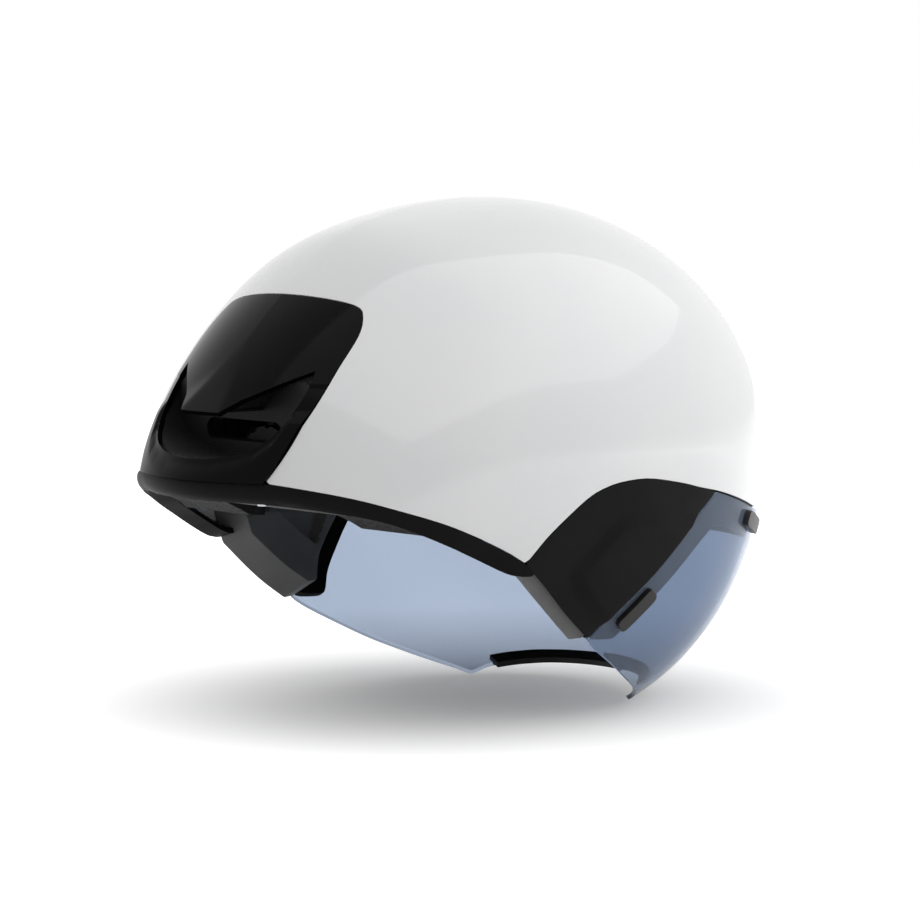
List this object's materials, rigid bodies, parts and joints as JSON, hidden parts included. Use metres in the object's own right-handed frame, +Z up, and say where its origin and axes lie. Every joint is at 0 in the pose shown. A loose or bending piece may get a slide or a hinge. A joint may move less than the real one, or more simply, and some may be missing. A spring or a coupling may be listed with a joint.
{
  "type": "aero time trial helmet",
  "caption": "Short-tail time trial helmet: smooth hard shell over a foam liner, wraparound clip-off lens, rear exhaust and a dial-tightened head cradle.",
  "frame": {"origin": "in the head cavity on the midplane, 15 mm below the widest ring of the shell, between the ears", "axes": "+X towards the face, +Y to the wearer's left, +Z up along the wearer's head"},
  "size_m": [0.3044, 0.236, 0.2245],
  "materials": {
    "shell_white": "white lacquer, satin gloss",
    "panel_black": "gloss black",
    "tray_black": "fine grained matte black",
    "band_black": "matte black",
    "cover_black": "fine matte black",
    "ear_grey": "matte dark grey",
    "frame_black": "matte black",
    "lens_tint": "pale blue smoke tint, clear",
    "trim_rubber": "soft matte black",
    "cap_dark": "matte brown black",
    "magnet_steel": "nickel plated",
    "foam_black": "moulded bead foam, matte",
    "pad_fabric": "brushed knit",
    "web_black": "woven webbing",
    "buckle_black": "smooth black",
    "cradle_nylon": "smooth nylon",
    "dial_rubber": "ribbed soft grip",
    "screw_steel": "zinc plated"
  },
  "bodies": {
    "helmet": {"outer_shell": "shell_white", "tail_fairing": "panel_black", "exhaust_tray": "tray_black", "lower_band": "band_black", "undertray": "tray_black", "undertray_screws": "screw_steel", "ear_cover_right": "cover_black", "ear_cover_left": "cover_black", "ear_inner_right": "ear_grey", "ear_inner_left": "ear_grey", "ear_screws": "screw_steel", "eyeport_frame": "frame_black", "keeper_magnets": "magnet_steel", "liner": "foam_black", "brow_pad": "pad_fabric", "crown_pad_front": "pad_fabric", "crown_pad_rear": "pad_fabric", "temple_pad_right": "pad_fabric", "temple_pad_left": "pad_fabric", "strap_right": "web_black", "strap_left": "web_black", "divider_right": "buckle_black", "divider_left": "buckle_black", "strap_anchors": "cradle_nylon", "buckle_socket": "buckle_black", "cradle_guides": "cradle_nylon"},
    "visor": {"visor_lens": "lens_tint", "nose_trim": "trim_rubber", "visor_magnets": "magnet_steel", "visor_caps": "cap_dark"},
    "cradle": {"cradle": "cradle_nylon", "dial_housing": "cradle_nylon", "nape_pad": "pad_fabric"},
    "dial": {"dial_pinion": "cradle_nylon", "dial_knob": "dial_rubber", "dial_screw": "screw_steel"},
    "band_right": {"band_right": "cradle_nylon"},
    "band_left": {"band_left": "cradle_nylon"},
    "buckle": {"buckle_plug": "buckle_black"}
  },
  "joints": [
    {"name": "visor_pull", "type": "slide", "parent": "helmet", "child": "visor", "axis": [0.9063, 0, -0.4226], "range_m": [0, 0.12]},
    {"name": "cradle_height", "type": "slide", "parent": "helmet", "child": "cradle", "axis": [0, 0, 1], "range_m": [-0.014, 0]},
    {"name": "dial_turn", "type": "hinge", "parent": "cradle", "child": "dial", "pos_m": [-0.09, 0, 0.013], "axis": [1, 0, 0], "range_deg": [-90, 90]},
    {"name": "band_left_wrap", "type": "hinge", "parent": "cradle", "child": "band_left", "pos_m": [-0.024, 0, 0.013], "axis": [0, 0, 1], "range_deg": [-8.82, 8.82]},
    {"name": "band_right_wrap", "type": "hinge", "parent": "cradle", "child": "band_right", "pos_m": [-0.024, 0, 0.013], "axis": [0, 0, 1], "range_deg": [-8.82, 8.82]},
    {"name": "buckle_pull", "type": "slide", "parent": "helmet", "child": "buckle", "axis": [0, -1, 0], "range_m": [0, 0.013]}
  ],
  "couplings": [
    {"joint": "band_left_wrap", "follows": "dial_turn", "ratio": 0.0974},
    {"joint": "band_right_wrap", "follows": "dial_turn", "ratio": -0.0974}
  ]
}
